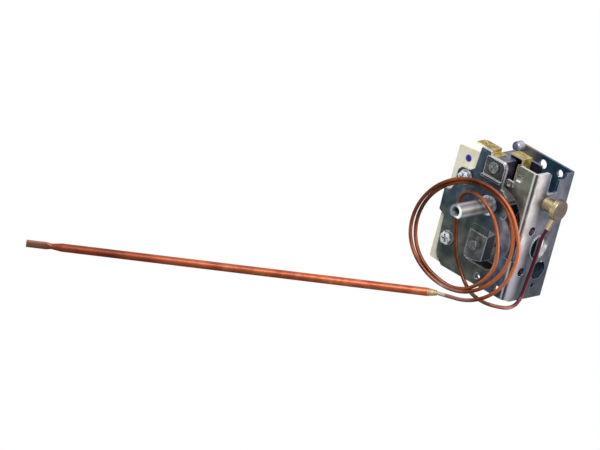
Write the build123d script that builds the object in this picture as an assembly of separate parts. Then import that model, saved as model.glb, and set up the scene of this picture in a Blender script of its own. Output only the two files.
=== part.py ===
from build123d import *
import math
import os

os.makedirs("parts", exist_ok=True)

# Oven thermostat: bent steel frame, snap switch, spiral cam, two levers, power
# element, capillary and sensing bulb. X right, Y back, Z up, all in millimetres.
# The origin is where the shaft axis meets the front face of the frame.

# How far a cutting shape reaches past the face it cuts
OVER = 1.0

# Frame sheet and its walls
SHEET = 1.2
BEND_OUT = 2.0
BEND_IN = BEND_OUT - SHEET
WEB_X = 19.8
DEPTH = 26.1
FRAME_TOP = 22.5
FRONT_BOTTOM = -34.5
FRAME_BOTTOM = -35.6
BACK_TOP = 20.4
BACK_LEFT = -12.4
BACK_LOW_LEFT = -18.0
BACK_STEP = 5.0
BACK_CORNER = 3.0
EDGE_CORNER = 1.0
FOOT_FRONT = 12.0
PAST_LEFT = -30.0
WEB_IN = WEB_X - SHEET
BACK_IN = DEPTH - SHEET

# Fits and clearances
RUN_GAP = 0.05
REST_GAP = 0.1
END_PLAY = 0.3

# Front wall cut-outs
CRESCENT_CENTRE = (4.0, -3.8)
CRESCENT_R = 14.2
HUB_R = 9.8
ARM_CENTRE = (4.0, -12.0)
ARM_R = 11.5
CRESCENT_LOW = -17.0
CRESCENT_RIGHT = 18.2
PLATE_RIGHT = 3.9
CLIP_CORNER = 2.5
BEND_CUT_LEFT = 17.0
BEND_CUT_TOP = -5.1
BEND_CUT_DEPTH = 1.3
WINDOW_LEFT = -5.8
WINDOW_RIGHT = 10.0
WINDOW_LOW = -26.0
WINDOW_TOP = -10.0
WINDOW_CORNER = 3.0
TAPPED_AT = (4.0, -30.5)
TAPPED_R = 1.5
TAPPED_LIP_R = 2.3
TAPPED_LIP = 1.1
SQUARE_AT = (15.3, -30.7)
SQUARE = 2.6
FRONT_OUTLINE = [
    (-10.9, 21.6, 0.8),
    (-5.6, 21.6, 0.6),
    (-5.4, 20.0),
    (PLATE_RIGHT, 20.0, CLIP_CORNER),
    (PLATE_RIGHT, 8.5),
    (5.3, 8.5),
    (5.3, 14.4, 0.4),
    (8.9, 14.4, 0.4),
    (8.9, 12.6),
    (9.6, 12.6),
    (9.6, FRAME_TOP, 1.0),
    (WEB_X + OVER, FRAME_TOP),
    (WEB_X + OVER, FRONT_BOTTOM),
    (-15.0, FRONT_BOTTOM, 1.0),
    (-17.9, -32.1, 1.0),
    (-19.4, -29.8, 1.0),
    (-20.5, -13.8, 0.6),
    (-23.5, -12.5, 0.6),
    (-23.8, -3.0, 0.5),
    (-20.8, -2.3, 0.5),
    (-19.2, 0.8, 0.5),
    (-19.6, 7.4, 1.5),
    (-17.9, 9.4, 1.5),
    (-14.0, 9.6, 1.5),
    (-11.6, 11.4, 1.0),
    (-11.2, 15.9, 1.0),
]

# Lanced curl at the top of the right flange, and the lug beside the crescent
CURL_SLOT_X = (10.4, 13.0)
CURL_SLOT_Z = (16.6, 17.3)
CURL_X = (10.6, 12.8)
CURL_Z = (15.9, 16.6)
CURL_OUT = 0.7
CURL_DOTS = [(11.0, 18.9, 0.45), (12.6, 18.6, 0.45)]
LUG_X = (8.5, 9.7)
LUG_Z = (-2.4, -1.2)
LUG_OUT = 1.5
LUG_HOLE_X = (6.2, 7.8)
LUG_HOLE_Z = (12.0, 13.6)

# Web: the notch at its top and the step down at its foot, as (Y, Z)
NOTCH_FRONT = 9.8
NOTCH_BACK = 16.0
NOTCH_LOW = 12.5
NOTCH_CORNER = 1.0
LOBE_CORNER = 2.4
NOTCH_LEAN = 0.2
SHOULDER_Z = 18.1
SHOULDER_LONG = 7.1
SHOULDER_RISE = 5.5
FOOT_STEP_Y = (1.2, 4.5)
WEB_OUTLINE = [
    (-OVER, FRAME_TOP),
    (NOTCH_FRONT, FRAME_TOP, LOBE_CORNER),
    (NOTCH_FRONT, NOTCH_LOW, NOTCH_CORNER),
    (NOTCH_BACK, NOTCH_LOW, NOTCH_CORNER),
    (NOTCH_BACK + NOTCH_LEAN, SHOULDER_Z),
    (DEPTH - SHOULDER_LONG, SHOULDER_Z),
    (DEPTH - SHOULDER_RISE, BACK_TOP),
    (DEPTH + OVER, BACK_TOP),
    (DEPTH + OVER, FRAME_BOTTOM),
    (FOOT_STEP_Y[1], FRAME_BOTTOM),
    (FOOT_STEP_Y[0], FRONT_BOTTOM),
    (-OVER, FRONT_BOTTOM),
]

# Web holes, each (Y, Z, radius)
WEB_HOLES = [
    (6.8, -3.8, 2.0),
    (18.2, -23.0, 4.1),
    (6.9, -22.3, 2.0),
    (17.1, -29.8, 1.1),
    (17.5, -33.2, 0.6),
    (12.3, -33.4, 0.6),
]
COLLAR_AT = (14.2, -11.8)
COLLAR_HOLE_R = 5.3
COLLAR_LIP = 0.5
COLLAR_OUT = 0.4
COLLAR_IN = 0.8

# Back wall
BACK_HOLES = [(3.2, 16.7, 2.0), (12.7, 16.8, 1.6)]
LIGHT_X = (11.0, 16.5)
LIGHT_Z = (-22.6, -9.6)
LIGHT_CORNER = 1.5

# Insulating sheet
CARD = 0.8
CARD_RIGHT = -11.0
CARD_LEFT = -22.8
CARD_TOP = (17.2, 18.5)
CARD_LOW = (-33.7, -34.5)
CARD_CORNER = 0.8
CARD_Y = (SHEET, SHEET + CARD)

# Screws that hold the insulating sheet, (X, Z)
PLATE_SCREW_AT = [(-14.7, 6.15), (-15.3, -21.85)]
SCREW_SHANK_R = 1.5
SCREW_WASHER_R = 3.1
SCREW_WASHER = 0.6
SCREW_HEX = 5.0
SCREW_HEX_HEIGHT = 1.5
SCREW_LENGTH = 5.6
CROSS_LONG = 3.2
CROSS_WIDE = 0.7
CROSS_DEEP = 0.9
CROSS_TURN = 20
NUT_AF = 5.5
NUT_HEIGHT = 2.4

# Switch clip and its screw
CLIP_X = (-6.4, PLATE_RIGHT)
CLIP_Z = (11.1, 20.0)
CLIP_THICK = 1.0
CLIP_LIP = 1.2
CLIP_LIP_HEIGHT = 1.0
CLIP_LEFT_CORNER = 0.8
CLIP_SCREW_AT = (-1.4, 16.5)
CLIP_SCREW_HEAD_R = 2.3
CLIP_SCREW_HEAD = 0.9
CLIP_SCREW_R = 1.2
CLIP_SCREW_LENGTH = 6.5
SLOT_WIDE = 0.7
SLOT_DEEP = 0.5
CLIP_SLOT_TURN = 65

# Switch base
BASE_X = (-8.0, 0.5)
BASE_Y = (SHEET, 18.5)
BASE_Z = (7.5, 19.0)
BASE_WELL_X = -1.0
BASE_WELL_Y = (10.3, 16.1)
PAD_X = (-3.4, -0.6)
PAD_Y = (10.9, 15.5)
PAD_TOP = 20.2
ARM_THICK = 1.3
ARM_LAP = 1.0
GUIDE_X = (6.0, 8.0)
GUIDE_Z = (9.5, 14.2)
GUIDE_Y = 10.4
PIN_LUG = 0.9
PIN_LUG_REACH = 1.2
PIN_LUG_LAP = 0.5

# Switch parts
TAB_THICK = 0.8
TAB_WIDTH = 6.35
TAB_Y = 2.4
TAB_Z = 20.6
TAB_X = (-16.1, -7.2)
TAB_HOLE_R = 0.9
TAB_HOLE_IN = 3.1
TAB_CHAMFER = 1.2
FOOT_RIGHT = -4.2
STRAP_Y = (7.6, TAB_Y + TAB_WIDTH)
STRAP_HALF = 0.75
STRAP_PAST_PIN = 0.9
LOAD_X = (PAD_X[0], 3.7)
LOAD_Y = (10.5, 15.9)
LOAD_LEG_LOW = 14.4
CONTACT_Y = 13.2
CONTACT_Z = 16.0
CONTACT_R = 1.5
MOVING_CONTACT_R = 1.4
CONTACT_THICK = 0.6
BLADE_X = (1.3, 1.6)
BLADE_Y = (10.6, 15.8)
BLADE_TOP = 17.6
BLADE_PIN_R = 0.5
BLADE_PIN_X = sum(BLADE_X) / 2
BLADE_PIN_Z = 8.7
BLADE_KNUCKLE_R = 0.9
BUTTON_R = 1.1
BUTTON_Z = 12.0
BUTTON_ROUND = 0.8

# Shaft, its bushing and cam
SHAFT_R = 3.175
SHAFT_TIP = -21.0
SHAFT_BORE_R = 1.9
SHAFT_BORE_DEPTH = 12.0
FLAT_DEPTH = 0.7
FLAT_LENGTH = 10.0
BEARING_R = 3.0
JOURNAL_R = 2.0
JOURNAL_START = 6.0
SHAFT_OUT = 1.6
BUSHING_FLANGE_R = 4.2
BUSHING_BARREL_R = 3.8
BUSHING_FRONT = -0.9
BUSHING_BACK = 2.0
CAM_Y = (3.0, 5.0)
CAM_SMALL = 5.4
CAM_LIFT = 1.2
CAM_TURN = 270
CAM_STEP = 15
CAM_FALL_END = 350
CAM_FALL_STEP = 20
WASHER_R = 4.6
CLIP_RING_R = 3.6
CLIP_RING_THICK = 0.6
CLIP_RING_GAP = 2.6
TRIM_SCREW_LENGTH = 3.2
TRIM_SLOT_WIDE = 0.6
TRIM_SLOT_DEEP = 0.7
TRIM_SLOT_TURN = 30

# Levers, both on pins along Y
RANGE_PIN_AT = (7.2, -8.5)
MAIN_PIN_AT = (13.0, -9.0)
LEVER_PIN_R = 1.0
KNUCKLE_R = 1.9
LEVER_PIN_HEAD_R = 1.6
LEVER_PIN_HEAD = 0.5
RANGE_X = (6.7, 7.7)
RANGE_Y = (2.4, 14.0)
RANGE_TOP = 3.0
NOSE_HALF = 0.8
NOSE_INSET = 0.2
MAIN_X = (12.4, 13.6)
MAIN_Y = (7.0, 16.0)
MAIN_TOP = 14.0
SPRING_Y = 11.0
SPRING_Z = -3.0
SPRING_R = 1.95
SPRING_WIRE_R = 0.25
SPRING_TURNS = 4
WIRE_SIDES = 8

# Calibration bracket in the lower window
BRACKET_LEFT = -5.5
BRACKET_RIGHT = 3.9
BRACKET_TOP = (-13.1, -13.4)
BRACKET_LOW = (-25.4, -24.0)
BRACKET_LOW_TURN = -0.7
BRACKET_CORNER = 2.6
BRACKET_THICK = 1.0
BRACKET_DEPTH = 5.8
BRACKET_RISE = 1.4
POST_AT = (-0.5, -18.2)
POST_R = 2.5
POST_RIVET_R = 1.5
POST_HEAD_R = 2.4
POST_HEAD = 0.7
BRACKET_SCREW_R = 1.3
BRACKET_SCREW_HEAD_R = 1.9
BRACKET_SCREW_HEAD = 0.9
BRACKET_SCREW_PROUD = 1.7
BRACKET_SCREW_LENGTH = 6.0
BRACKET_SLOT_TURN = 70

# Rear stud
STUD_AT = (-9.7, 19.2)
STUD_R = 2.2
STUD_LENGTH = 4.0
STUD_DOME = 1.2

# Power element on an axis along X
ELEMENT_Y = 11.3
ELEMENT_Z = 8.4
STEM_R = 2.5
STEM_START = 16.2
STEM_BORE_R = 1.25
BORE_PAST = 0.5
COLLAR_R = 3.1
COLLAR_END = 20.6
NECK_R = 2.9
CUP_R = 4.6
CUP_X = (24.8, 27.7)
CUP_EDGE = 0.5
ELEMENT_NUT_AF = 8.0
ELEMENT_NUT_X = 16.6
ELEMENT_NUT_TURN = 15
PLUNGER_R = STEM_BORE_R - RUN_GAP
PLUNGER_END = 18.0
FERRULE_R = 1.2
FERRULE_X = (CUP_X[0] + CUP_X[1]) / 2
FERRULE_LEAN = 24.0
FERRULE_REACH = 4.7
FERRULE_LAP = 1.0

# Capillary, its coil and the bulb
CAPILLARY_R = 0.8
COIL_CENTRE = (0.0, -10.5, -12.7)
COIL_AXIS = (0.301, -0.933, 0.198)
COIL_STRANDS = [(23.6, 0.0), (22.1, 0.0), (20.8, 0.85)]
BULB_START = (-0.2, -18.0, -37.7)
BULB_DIRECTION = (-0.765, -0.630, -0.135)
BULB_R = 1.75
NECK_LENGTH = 4.0
NECK_WALL = 0.25
BULB_FULL_END = 155.0
BULB_PINCH = 159.3
BULB_PINCH_R = 1.15
BULB_TIP_START = 161.2
BULB_LENGTH = 169.7
TIP_HALF_WIDE = 1.7
TIP_HALF_THIN = 0.9
TIP_ACROSS = (0.0, 0.2, -1.0)


def block(x, y, z):
    """Box between two values on each axis."""
    middle = ((x[0] + x[1]) / 2, (y[0] + y[1]) / 2, (z[0] + z[1]) / 2)
    return Location(middle) * Box(x[1] - x[0], y[1] - y[0], z[1] - z[0])


def flat(points):
    """Closed outline; a third value on a point rounds that corner."""
    face = make_face(Polyline(*[(p[0], p[1]) for p in points], close=True)).face()
    for point in points:
        if len(point) == 3:
            corner = face.vertices().sort_by_distance((point[0], point[1], 0))[0]
            face = face.fillet_2d(point[2], [corner])
    return face


def rounded(x, z, r):
    """Rectangle between two values on each axis, with round corners."""
    return flat([(x[0], z[0], r), (x[1], z[0], r), (x[1], z[1], r), (x[0], z[1], r)])


def along_x(shape, x):
    place = Plane(origin=(x[0], 0, 0), x_dir=(0, 1, 0), z_dir=(1, 0, 0))
    return extrude(place * shape, amount=x[1] - x[0], dir=(1, 0, 0))


def along_y(shape, y):
    place = Plane(origin=(0, y[1], 0), x_dir=(1, 0, 0), z_dir=(0, -1, 0))
    return extrude(place * shape, amount=y[1] - y[0], dir=(0, -1, 0))


def along_z(shape, z):
    return extrude(Location((0, 0, z[0])) * shape, amount=z[1] - z[0], dir=(0, 0, 1))


def rod_x(r, x, at):
    return along_x(Location((at[0], at[1])) * Circle(r), x)


def rod_y(r, y, at):
    return along_y(Location((at[0], at[1])) * Circle(r), y)


def hexagon_y(across, y, at):
    return along_y(Location((at[0], at[1])) * RegularPolygon(across / 2, 6, major_radius=False), y)


def slot_cut(head_y, deep, at, long, wide, angle):
    """Straight screwdriver slot cut into a head from the front."""
    shape = Location((at[0], at[1]), angle) * Rectangle(long, wide)
    return along_y(shape, (head_y - OVER, head_y + deep))


# Spans that cut right through a wall
through_front = (-OVER, SHEET + OVER)
through_back = (BACK_IN - OVER, DEPTH + OVER)
through_web = (WEB_IN - OVER, WEB_X + OVER)
all_high = (FRAME_BOTTOM - OVER, FRAME_TOP + OVER)

# Frame: a channel, its three walls trimmed, and the foot below the back wall
outer = flat([(PAST_LEFT, 0), (WEB_X, 0, BEND_OUT), (WEB_X, DEPTH, BEND_OUT), (PAST_LEFT, DEPTH)])
past = PAST_LEFT - OVER
inner = flat([(past, SHEET), (WEB_IN, SHEET, BEND_IN), (WEB_IN, BACK_IN, BEND_IN), (past, BACK_IN)])
frame = along_z(outer, (FRAME_BOTTOM, FRAME_TOP)) - along_z(inner, all_high)

front_waste = block((past, WEB_X + OVER), (-OVER, SHEET + RUN_GAP), all_high)
frame -= front_waste - along_y(flat(FRONT_OUTLINE), (-OVER * 2, SHEET + OVER))

web_waste = block((WEB_IN - SHEET, WEB_X + OVER), (-OVER / 2, DEPTH + OVER / 2), all_high)
frame -= web_waste - along_x(flat(WEB_OUTLINE), (WEB_IN - SHEET * 2, WEB_X + OVER * 2))

foot_right = WEB_X - BEND_OUT
foot_top = FRAME_BOTTOM + BEND_OUT + SHEET
BACK_OUTLINE = [
    (BACK_LOW_LEFT, foot_top),
    (foot_right, foot_top),
    (foot_right, FRAME_BOTTOM),
    (WEB_X + OVER * 2, FRAME_BOTTOM),
    (WEB_X + OVER * 2, BACK_TOP),
    (BACK_LEFT, BACK_TOP, BACK_CORNER),
    (BACK_LEFT, BACK_STEP, EDGE_CORNER),
    (BACK_LOW_LEFT, BACK_STEP, EDGE_CORNER),
]
back_waste = block((past, WEB_X + OVER), (BACK_IN - RUN_GAP, DEPTH + OVER), all_high)
frame -= back_waste - along_y(flat(BACK_OUTLINE), (BACK_IN - OVER, DEPTH + OVER * 2))

FOOT_SIDE = [
    (FOOT_FRONT, FRAME_BOTTOM),
    (DEPTH, FRAME_BOTTOM, BEND_OUT),
    (DEPTH, foot_top),
    (BACK_IN, foot_top),
    (BACK_IN, FRAME_BOTTOM + SHEET, BEND_IN),
    (FOOT_FRONT, FRAME_BOTTOM + SHEET),
]
frame += along_x(flat(FOOT_SIDE), (BACK_LOW_LEFT, foot_right))

crescent = rod_y(CRESCENT_R, through_front, CRESCENT_CENTRE)
crescent &= block((PLATE_RIGHT, -PAST_LEFT), through_front, (CRESCENT_CENTRE[1], -PAST_LEFT))
crescent += block((PLATE_RIGHT, CRESCENT_RIGHT), through_front, (CRESCENT_LOW, CRESCENT_CENTRE[1]))
crescent -= rod_y(HUB_R, (-OVER * 2, SHEET + OVER * 2), (0, 0))
crescent -= rod_y(ARM_R, (-OVER * 2, SHEET + OVER * 2), ARM_CENTRE)
crescent &= block((past, WEB_X), (-OVER, SHEET + REST_GAP), all_high)
frame -= crescent
frame -= block((BEND_CUT_LEFT, WEB_X + OVER), (-OVER, BEND_CUT_DEPTH), (CRESCENT_LOW, BEND_CUT_TOP))
window = rounded((WINDOW_LEFT, WINDOW_RIGHT), (WINDOW_LOW, WINDOW_TOP), WINDOW_CORNER)
frame -= along_y(window, through_front)

frame += rod_y(TAPPED_LIP_R, (SHEET, SHEET + TAPPED_LIP), TAPPED_AT)
frame -= rod_y(TAPPED_R, (-OVER, SHEET + TAPPED_LIP + OVER), TAPPED_AT)
square = Location(SQUARE_AT) * Rectangle(SQUARE, SQUARE)
frame -= along_y(square, through_front)

frame -= block(CURL_SLOT_X, through_front, CURL_SLOT_Z)
for x, z, r in CURL_DOTS:
    frame -= rod_y(r, through_front, (x, z))
frame += block(CURL_X, (-CURL_OUT, SHEET / 2), CURL_Z)
frame += block(LUG_X, (-LUG_OUT, SHEET / 2), LUG_Z)
frame -= block(LUG_HOLE_X, through_front, LUG_HOLE_Z)

for y, z, r in WEB_HOLES:
    frame -= rod_x(r, through_web, (y, z))
frame += rod_x(COLLAR_HOLE_R + COLLAR_LIP, (WEB_IN - COLLAR_IN, WEB_X + COLLAR_OUT), COLLAR_AT)
frame -= rod_x(COLLAR_HOLE_R, (WEB_IN - COLLAR_IN - OVER, WEB_X + COLLAR_OUT + OVER), COLLAR_AT)
frame -= rod_x(STEM_R, through_web, (ELEMENT_Y, ELEMENT_Z))

for x, z, r in BACK_HOLES:
    frame -= rod_y(r, through_back, (x, z))
frame -= along_y(rounded(LIGHT_X, LIGHT_Z, LIGHT_CORNER), through_back)
frame -= rod_y(JOURNAL_R + RUN_GAP, through_back, (0, 0))
frame -= rod_y(POST_RIVET_R, through_back, POST_AT)
for at in (RANGE_PIN_AT, MAIN_PIN_AT):
    frame -= rod_y(LEVER_PIN_R, through_back, at)

frame -= rod_y(BUSHING_BARREL_R, through_front, (0, 0))
for at in PLATE_SCREW_AT:
    frame -= rod_y(SCREW_SHANK_R, through_front, at)
frame -= rod_y(CLIP_SCREW_R, through_front, CLIP_SCREW_AT)
export_step(frame, "parts/frame.step")

# Insulating sheet behind the front wall
CARD_OUTLINE = [
    (CARD_LEFT, CARD_LOW[0], CARD_CORNER),
    (CARD_RIGHT, CARD_LOW[1]),
    (CARD_RIGHT, CARD_TOP[1], CARD_CORNER),
    (CARD_LEFT, CARD_TOP[0], CARD_CORNER),
]
insulator_sheet = along_y(flat(CARD_OUTLINE), CARD_Y)
for at in PLATE_SCREW_AT:
    insulator_sheet -= rod_y(SCREW_SHANK_R, (0, CARD_Y[1] + OVER), at)
export_step(insulator_sheet, "parts/insulator_sheet.step")


# Hex washer head screws with a cross recess, and their nuts
def plate_screw(at):
    head_y = -SCREW_WASHER - SCREW_HEX_HEIGHT
    screw = rod_y(SCREW_WASHER_R, (-SCREW_WASHER, 0), at)
    screw += hexagon_y(SCREW_HEX, (head_y, -SCREW_WASHER), at)
    screw += rod_y(SCREW_SHANK_R, (0, SCREW_LENGTH), at)
    screw -= slot_cut(head_y, CROSS_DEEP, at, CROSS_LONG, CROSS_WIDE, CROSS_TURN)
    screw -= slot_cut(head_y, CROSS_DEEP, at, CROSS_WIDE, CROSS_LONG, CROSS_TURN)
    return screw


def plate_nut(at):
    nut = hexagon_y(NUT_AF, (CARD_Y[1], CARD_Y[1] + NUT_HEIGHT), at)
    return nut - rod_y(SCREW_SHANK_R, (0, CARD_Y[1] + NUT_HEIGHT + OVER), at)


plate_screws = plate_screw(PLATE_SCREW_AT[0]) + plate_screw(PLATE_SCREW_AT[1])
plate_nuts = plate_nut(PLATE_SCREW_AT[0]) + plate_nut(PLATE_SCREW_AT[1])
export_step(plate_screws, "parts/plate_screws.step")
export_step(plate_nuts, "parts/plate_nuts.step")

# Switch clip on the front wall, with its slotted screw
CLIP_OUTLINE = [
    (CLIP_X[0], CLIP_Z[0]),
    (CLIP_X[1], CLIP_Z[0]),
    (CLIP_X[1], CLIP_Z[1], CLIP_CORNER),
    (CLIP_X[0], CLIP_Z[1], CLIP_LEFT_CORNER),
]
switch_clip = along_y(flat(CLIP_OUTLINE), (-CLIP_THICK, 0))
switch_clip += block(CLIP_X, (-CLIP_THICK - CLIP_LIP, -CLIP_THICK), (CLIP_Z[0], CLIP_Z[0] + CLIP_LIP_HEIGHT))
switch_clip -= rod_y(CLIP_SCREW_R, (-CLIP_THICK - OVER, OVER), CLIP_SCREW_AT)
export_step(switch_clip, "parts/switch_clip.step")

clip_head_y = -CLIP_THICK - CLIP_SCREW_HEAD
clip_screw = rod_y(CLIP_SCREW_HEAD_R, (clip_head_y, -CLIP_THICK), CLIP_SCREW_AT)
clip_screw += rod_y(CLIP_SCREW_R, (-CLIP_THICK, -CLIP_THICK + CLIP_SCREW_LENGTH), CLIP_SCREW_AT)
clip_screw -= slot_cut(
    clip_head_y, SLOT_DEEP, CLIP_SCREW_AT, CLIP_SCREW_HEAD_R * 3, SLOT_WIDE, CLIP_SLOT_TURN
)
export_step(clip_screw, "parts/clip_screw.step")

# Line terminal: a tab, a step down to the base and a strap inside it
tab_top = TAB_Z + TAB_THICK
tab_back = TAB_Y + TAB_WIDTH
foot_z = (BASE_Z[1], BASE_Z[1] + TAB_THICK)
TAB_SIDE = [
    (TAB_X[0], TAB_Z),
    (TAB_X[1] - TAB_THICK, TAB_Z),
    (TAB_X[1] - TAB_THICK, foot_z[0]),
    (FOOT_RIGHT, foot_z[0]),
    (FOOT_RIGHT, foot_z[1]),
    (TAB_X[1], foot_z[1]),
    (TAB_X[1], tab_top),
    (TAB_X[0], tab_top),
]
through_tab = (TAB_Z - OVER, tab_top + OVER)
tab_hole_at = (TAB_X[0] + TAB_HOLE_IN, TAB_Y + TAB_WIDTH / 2)
tab_corner = [
    (TAB_X[0] - OVER, tab_back - TAB_CHAMFER - OVER),
    (TAB_X[0] - OVER, tab_back + OVER),
    (TAB_X[0] + TAB_CHAMFER + OVER, tab_back + OVER),
]
line_terminal = along_y(flat(TAB_SIDE), (TAB_Y, tab_back))
line_terminal -= along_z(Location(tab_hole_at) * Circle(TAB_HOLE_R), through_tab)
line_terminal -= along_z(flat(tab_corner), through_tab)
strap_z = (BLADE_PIN_Z - STRAP_HALF, BLADE_PIN_Z + STRAP_HALF)
strap_x = FOOT_RIGHT - TAB_THICK
strap = block((strap_x, FOOT_RIGHT), STRAP_Y, (strap_z[0], foot_z[0]))
strap += block((strap_x, BLADE_PIN_X + STRAP_PAST_PIN), STRAP_Y, strap_z)
strap -= rod_y(BLADE_PIN_R, (0, STRAP_Y[1] + OVER), (BLADE_PIN_X, BLADE_PIN_Z))
line_terminal += strap
export_step(line_terminal, "parts/line_terminal.step")

# Load terminal: plate on the pad with a leg that carries the fixed contact
load_z = (PAD_TOP, PAD_TOP + TAB_THICK)
leg_x = (LOAD_X[1] - TAB_THICK, LOAD_X[1])
load_terminal = block(LOAD_X, LOAD_Y, load_z)
load_terminal += block(leg_x, LOAD_Y, (LOAD_LEG_LOW, load_z[1]))
export_step(load_terminal, "parts/load_terminal.step")

contact_at = (CONTACT_Y, CONTACT_Z)
fixed_x = (leg_x[0] - CONTACT_THICK, leg_x[0])
fixed_contact = rod_x(CONTACT_R, fixed_x, contact_at)
export_step(fixed_contact, "parts/fixed_contact.step")

# Snap blade on its pin, the contact it carries and the push button
blade_pin_at = (BLADE_PIN_X, BLADE_PIN_Z)
snap_blade = block(BLADE_X, BLADE_Y, (BLADE_PIN_Z, BLADE_TOP))
snap_blade += rod_y(BLADE_KNUCKLE_R, BLADE_Y, blade_pin_at)
snap_blade -= rod_y(BLADE_PIN_R + RUN_GAP, (0, BLADE_Y[1] + OVER), blade_pin_at)
export_step(snap_blade, "parts/snap_blade.step")

moving_x = (BLADE_X[1], fixed_x[0] - REST_GAP)
moving_contact = rod_x(MOVING_CONTACT_R, moving_x, contact_at)
export_step(moving_contact, "parts/moving_contact.step")

pin_y = (STRAP_Y[0], BASE_WELL_Y[1] + PIN_LUG)
blade_pin = rod_y(BLADE_PIN_R, pin_y, blade_pin_at)
export_step(blade_pin, "parts/blade_pin.step")

button_at = (CONTACT_Y, BUTTON_Z)
switch_button = rod_x(BUTTON_R, (BLADE_X[1] + REST_GAP, MAIN_X[0] - REST_GAP), button_at)
button_end = switch_button.edges().filter_by(GeomType.CIRCLE).sort_by(Axis.X)[0]
switch_button = fillet(button_end, BUTTON_ROUND)
export_step(switch_button, "parts/switch_button.step")

# Switch base with its well, lugs for the pin, rear arm and button guide
switch_base = block(BASE_X, BASE_Y, BASE_Z)
switch_base += block(PAD_X, PAD_Y, (BASE_Z[1], PAD_TOP))
switch_base += block((BASE_X[1] - ARM_LAP, GUIDE_X[1]), (BASE_Y[1] - ARM_THICK, BASE_Y[1]), BASE_Z)
switch_base += block(GUIDE_X, (GUIDE_Y, BASE_Y[1]), GUIDE_Z)
switch_base -= block((BASE_WELL_X, BASE_X[1] + OVER), BASE_WELL_Y, (BASE_Z[0] - OVER, BASE_Z[1] + OVER * 2))
lug_x = (BASE_X[1] - PIN_LUG_LAP, BLADE_PIN_X + PIN_LUG_REACH)
lug_z = (BASE_Z[0], BLADE_PIN_Z + PIN_LUG_REACH)
for lug_y in ((STRAP_Y[1], BASE_WELL_Y[0]), (BASE_WELL_Y[1], pin_y[1])):
    switch_base += block(lug_x, lug_y, lug_z)
switch_base -= strap
switch_base -= rod_y(BLADE_PIN_R, pin_y, blade_pin_at)
switch_base -= rod_x(BUTTON_R + RUN_GAP, (GUIDE_X[0] - OVER, GUIDE_X[1] + OVER), button_at)
switch_base -= rod_y(CLIP_SCREW_R, (0, CLIP_SCREW_LENGTH - CLIP_THICK), CLIP_SCREW_AT)
export_step(switch_base, "parts/switch_base.step")

# Shaft with a flat and a hollow end, its bushing, cam, washer and clip
shaft_shoulder = BUSHING_FRONT - REST_GAP
shaft = rod_y(SHAFT_R, (SHAFT_TIP, shaft_shoulder), (0, 0))
shaft += rod_y(BEARING_R, (shaft_shoulder, JOURNAL_START), (0, 0))
shaft += rod_y(JOURNAL_R, (JOURNAL_START, DEPTH + SHAFT_OUT), (0, 0))
shaft -= rod_y(SHAFT_BORE_R, (SHAFT_TIP - OVER, SHAFT_TIP + SHAFT_BORE_DEPTH), (0, 0))
flat_z = (-SHAFT_R - OVER, -SHAFT_R + FLAT_DEPTH)
shaft -= block((-SHAFT_R, SHAFT_R), (SHAFT_TIP - OVER, SHAFT_TIP + FLAT_LENGTH), flat_z)
export_step(shaft, "parts/shaft.step")

trim_y = (SHAFT_TIP + SHAFT_BORE_DEPTH - TRIM_SCREW_LENGTH, SHAFT_TIP + SHAFT_BORE_DEPTH)
calibration_screw = rod_y(SHAFT_BORE_R, trim_y, (0, 0))
calibration_screw -= slot_cut(
    trim_y[0], TRIM_SLOT_DEEP, (0, 0), SHAFT_BORE_R * 3, TRIM_SLOT_WIDE, TRIM_SLOT_TURN
)
export_step(calibration_screw, "parts/calibration_screw.step")

shaft_bushing = rod_y(BUSHING_FLANGE_R, (BUSHING_FRONT, 0), (0, 0))
shaft_bushing += rod_y(BUSHING_BARREL_R, (0, BUSHING_BACK), (0, 0))
shaft_bushing -= rod_y(BEARING_R + RUN_GAP, (BUSHING_FRONT - OVER, BUSHING_BACK + OVER), (0, 0))
export_step(shaft_bushing, "parts/shaft_bushing.step")


def cam_point(degrees):
    """Rising spiral over the turn, then a quick fall back to its start."""
    reach = CAM_SMALL + CAM_LIFT * degrees / CAM_TURN
    if degrees > CAM_TURN:
        left = (CAM_FALL_END - degrees) / (CAM_FALL_END - CAM_TURN)
        reach = CAM_SMALL + CAM_LIFT * left
    angle = math.radians(degrees)
    return (reach * math.cos(angle), reach * math.sin(angle))


rise = range(0, CAM_TURN + 1, CAM_STEP)
fall = range(CAM_TURN + CAM_FALL_STEP, CAM_FALL_END + 1, CAM_FALL_STEP)
cam_edge = Spline(*[cam_point(degrees) for degrees in [*rise, *fall]], periodic=True)
cam = along_y(make_face(cam_edge).face(), CAM_Y)
cam -= rod_y(BEARING_R, (CAM_Y[0] - OVER, CAM_Y[1] + OVER), (0, 0))
export_step(cam, "parts/cam.step")

thrust_washer = rod_y(WASHER_R, (BUSHING_BACK + END_PLAY, CAM_Y[0]), (0, 0))
thrust_washer -= rod_y(BEARING_R, (0, CAM_Y[1]), (0, 0))
export_step(thrust_washer, "parts/thrust_washer.step")

ring_y = (DEPTH + END_PLAY, DEPTH + END_PLAY + CLIP_RING_THICK)
ring_cut_y = (ring_y[0] - OVER, ring_y[1] + OVER)
e_clip = rod_y(CLIP_RING_R, ring_y, (0, 0)) - rod_y(JOURNAL_R, ring_cut_y, (0, 0))
e_clip -= block((-CLIP_RING_GAP / 2, CLIP_RING_GAP / 2), ring_cut_y, (-CLIP_RING_R * 2, 0))
export_step(e_clip, "parts/e_clip.step")


# Lever pins, riveted in the back wall
def lever_pin_at(at):
    pin = rod_y(LEVER_PIN_R, (SHEET, DEPTH), at)
    return pin + rod_y(LEVER_PIN_HEAD_R, (DEPTH, DEPTH + LEVER_PIN_HEAD), at)


range_pin = lever_pin_at(RANGE_PIN_AT)
main_pin = lever_pin_at(MAIN_PIN_AT)
export_step(range_pin, "parts/range_pin.step")
export_step(main_pin, "parts/main_pin.step")

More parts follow.
